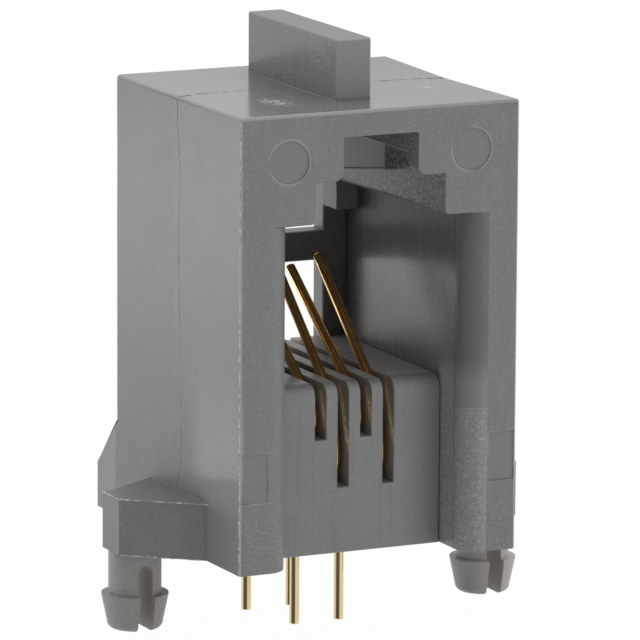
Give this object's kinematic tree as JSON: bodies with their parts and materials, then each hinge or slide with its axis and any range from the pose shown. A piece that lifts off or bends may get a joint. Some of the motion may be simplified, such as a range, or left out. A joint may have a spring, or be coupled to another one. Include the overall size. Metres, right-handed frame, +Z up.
{
  "type": "modular jack",
  "caption": "Upright board-mount modular jack: grey housing with top tab, feet, side ears and split snap pegs, and a contact carrier with sprung gold wires ending in solder pins.",
  "frame": {"origin": "on the board face, midway between the two snap pegs", "axes": "+Z up from the board, +Y the way the plug goes in, +X to the right seen from the front"},
  "size_m": [0.0186, 0.0141, 0.0251],
  "materials": {
    "housing_plastic": "moulded, satin outside, spark-eroded grain in the latch way and on the pegs",
    "carrier_plastic": "moulded, smooth satin",
    "contact_metal": "gold plated round spring wire"
  },
  "bodies": {
    "root": {"housing": "housing_plastic", "contact_carrier": "carrier_plastic", "contact_1": "contact_metal", "contact_2": "contact_metal", "contact_3": "contact_metal", "contact_4": "contact_metal"}
  },
  "joints": []
}
